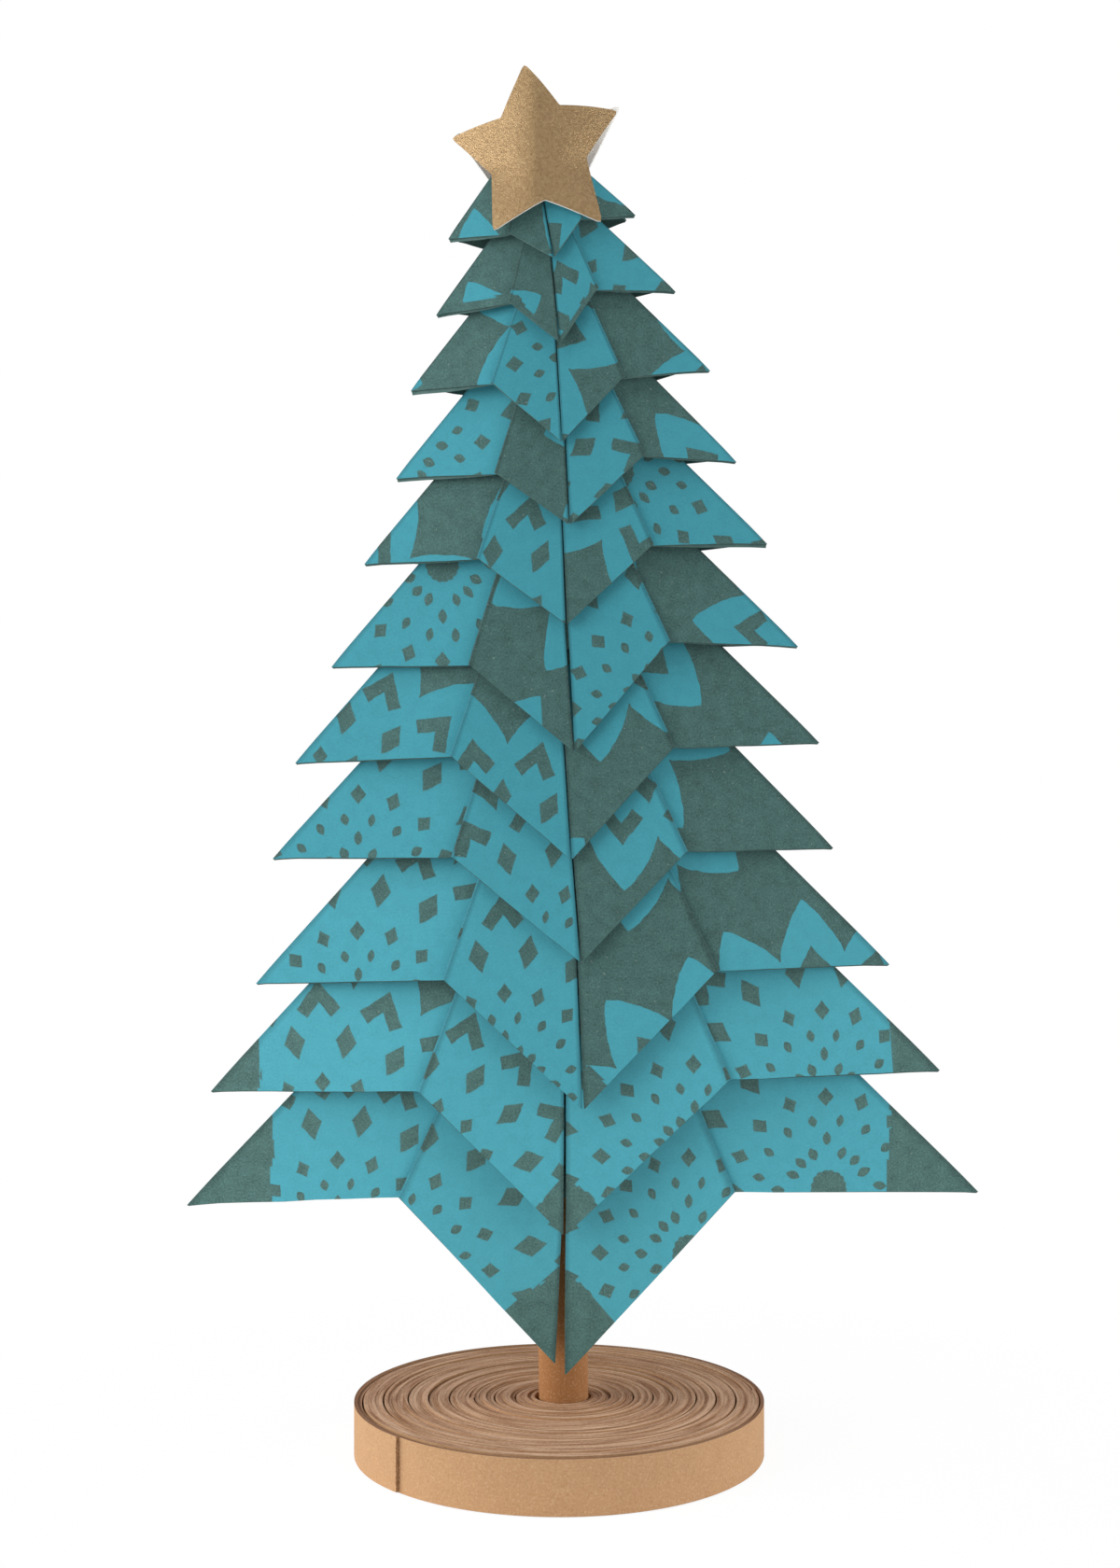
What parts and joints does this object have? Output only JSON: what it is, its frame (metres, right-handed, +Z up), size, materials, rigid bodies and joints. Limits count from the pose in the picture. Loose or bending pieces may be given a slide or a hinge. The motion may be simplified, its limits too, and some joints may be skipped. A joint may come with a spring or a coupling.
{
  "type": "origami christmas tree",
  "caption": "Free-standing christmas tree of folded square paper sheets in tiers on a rolled tube, with a card star on top and a wound kraft coil as its foot.",
  "frame": {"origin": "middle of the coil's underside, on the ground", "axes": "+Z up along the trunk, the front kites face -Y, +X to the right seen from the front"},
  "size_m": [0.173, 0.0889, 0.3003],
  "materials": {
    "printed_paper": "handmade cotton paper, matt, with a printed rosette",
    "kraft_strip": "raw kraft board, fibrous on its cut edges",
    "kraft_tube": "rolled brown kraft paper, matt",
    "gold_card": "grainy metallic gold face, white cut edges"
  },
  "bodies": {
    "root": {"base_coil": "kraft_strip", "trunk_tube": "kraft_tube", "front_star": "gold_card", "back_star": "gold_card", "tier_01_front_sheet": "printed_paper", "tier_01_back_sheet": "printed_paper", "tier_02_front_sheet": "printed_paper", "tier_02_back_sheet": "printed_paper", "tier_03_front_sheet": "printed_paper", "tier_03_back_sheet": "printed_paper", "tier_04_front_sheet": "printed_paper", "tier_04_back_sheet": "printed_paper", "tier_05_front_sheet": "printed_paper", "tier_05_back_sheet": "printed_paper", "tier_06_front_sheet": "printed_paper", "tier_06_back_sheet": "printed_paper", "tier_07_front_sheet": "printed_paper", "tier_07_back_sheet": "printed_paper", "tier_08_front_sheet": "printed_paper", "tier_08_back_sheet": "printed_paper", "tier_09_front_sheet": "printed_paper", "tier_09_back_sheet": "printed_paper", "tier_10_front_sheet": "printed_paper", "tier_10_back_sheet": "printed_paper", "tier_11_front_sheet": "printed_paper", "tier_11_back_sheet": "printed_paper"}
  },
  "joints": []
}
